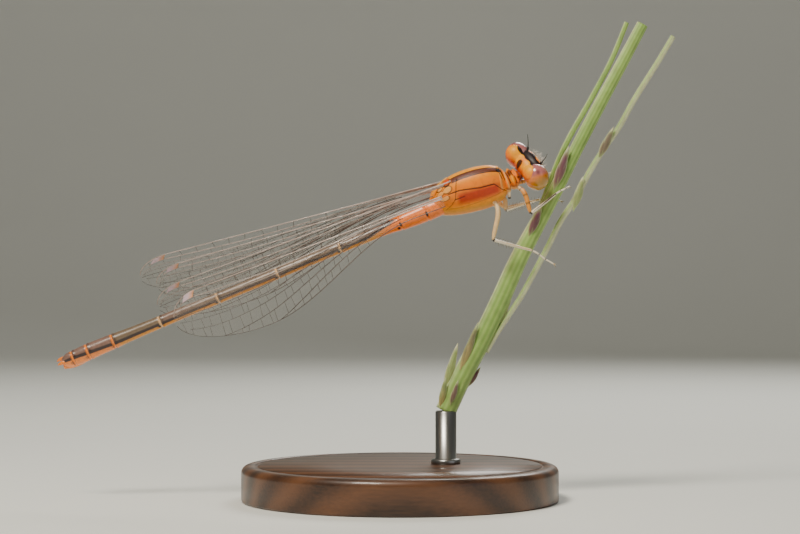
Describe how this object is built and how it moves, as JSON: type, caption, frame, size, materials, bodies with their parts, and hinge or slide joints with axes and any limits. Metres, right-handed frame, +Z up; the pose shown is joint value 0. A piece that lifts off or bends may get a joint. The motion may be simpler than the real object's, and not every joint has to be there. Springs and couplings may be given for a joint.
{
  "type": "damselfly model on stand",
  "caption": "Life-size damselfly with folded wings gripping a short cut grass stem, held by a round display stand.",
  "frame": {"origin": "centre of the flat underside of the stand's round base", "axes": "+Z up, +X along the animal from the tip of the abdomen to the head, -Y towards the viewer, who sees its right side"},
  "size_m": [0.0353, 0.018, 0.0273],
  "materials": {
    "orange_cuticle": "waxy orange insect cuticle with dark seams",
    "bronze_cuticle": "bronze-black insect cuticle, satin metallic sheen over ochre sides",
    "eye": "glossy amber eye with a mauve cap",
    "feeler": "black bristle",
    "leg": "straw coloured cuticle with a dark line",
    "wing": "clear membrane with copper and dark veins",
    "grass": "fresh ribbed grass stem with purple and cream florets",
    "stand_wood": "turned and oiled dark hardwood",
    "stand_metal": "fine brushed steel"
  },
  "bodies": {
    "root": {"thorax": "orange_cuticle", "prothorax": "orange_cuticle", "head": "orange_cuticle", "eye_left": "eye", "eye_right": "eye", "antenna_left": "feeler", "antenna_right": "feeler", "abdomen_01": "orange_cuticle", "abdomen_02": "orange_cuticle", "abdomen_03": "bronze_cuticle", "abdomen_04": "bronze_cuticle", "abdomen_05": "bronze_cuticle", "abdomen_06": "bronze_cuticle", "abdomen_07": "bronze_cuticle", "abdomen_08": "bronze_cuticle", "abdomen_09": "bronze_cuticle", "abdomen_10": "bronze_cuticle", "wing_fore_left": "wing", "wing_hind_left": "wing", "wing_fore_right": "wing", "wing_hind_right": "wing", "front_right_femur": "leg", "front_right_tibia": "leg", "front_left_femur": "leg", "front_left_tibia": "leg", "middle_right_femur": "leg", "middle_right_tibia": "leg", "middle_left_femur": "leg", "middle_left_tibia": "leg", "hind_right_femur": "leg", "hind_right_tibia": "leg", "hind_left_femur": "leg", "hind_left_tibia": "leg", "perch_stem": "grass", "perch_shoot": "grass", "stand_base": "stand_wood", "stand_rod": "stand_metal"}
  },
  "joints": []
}
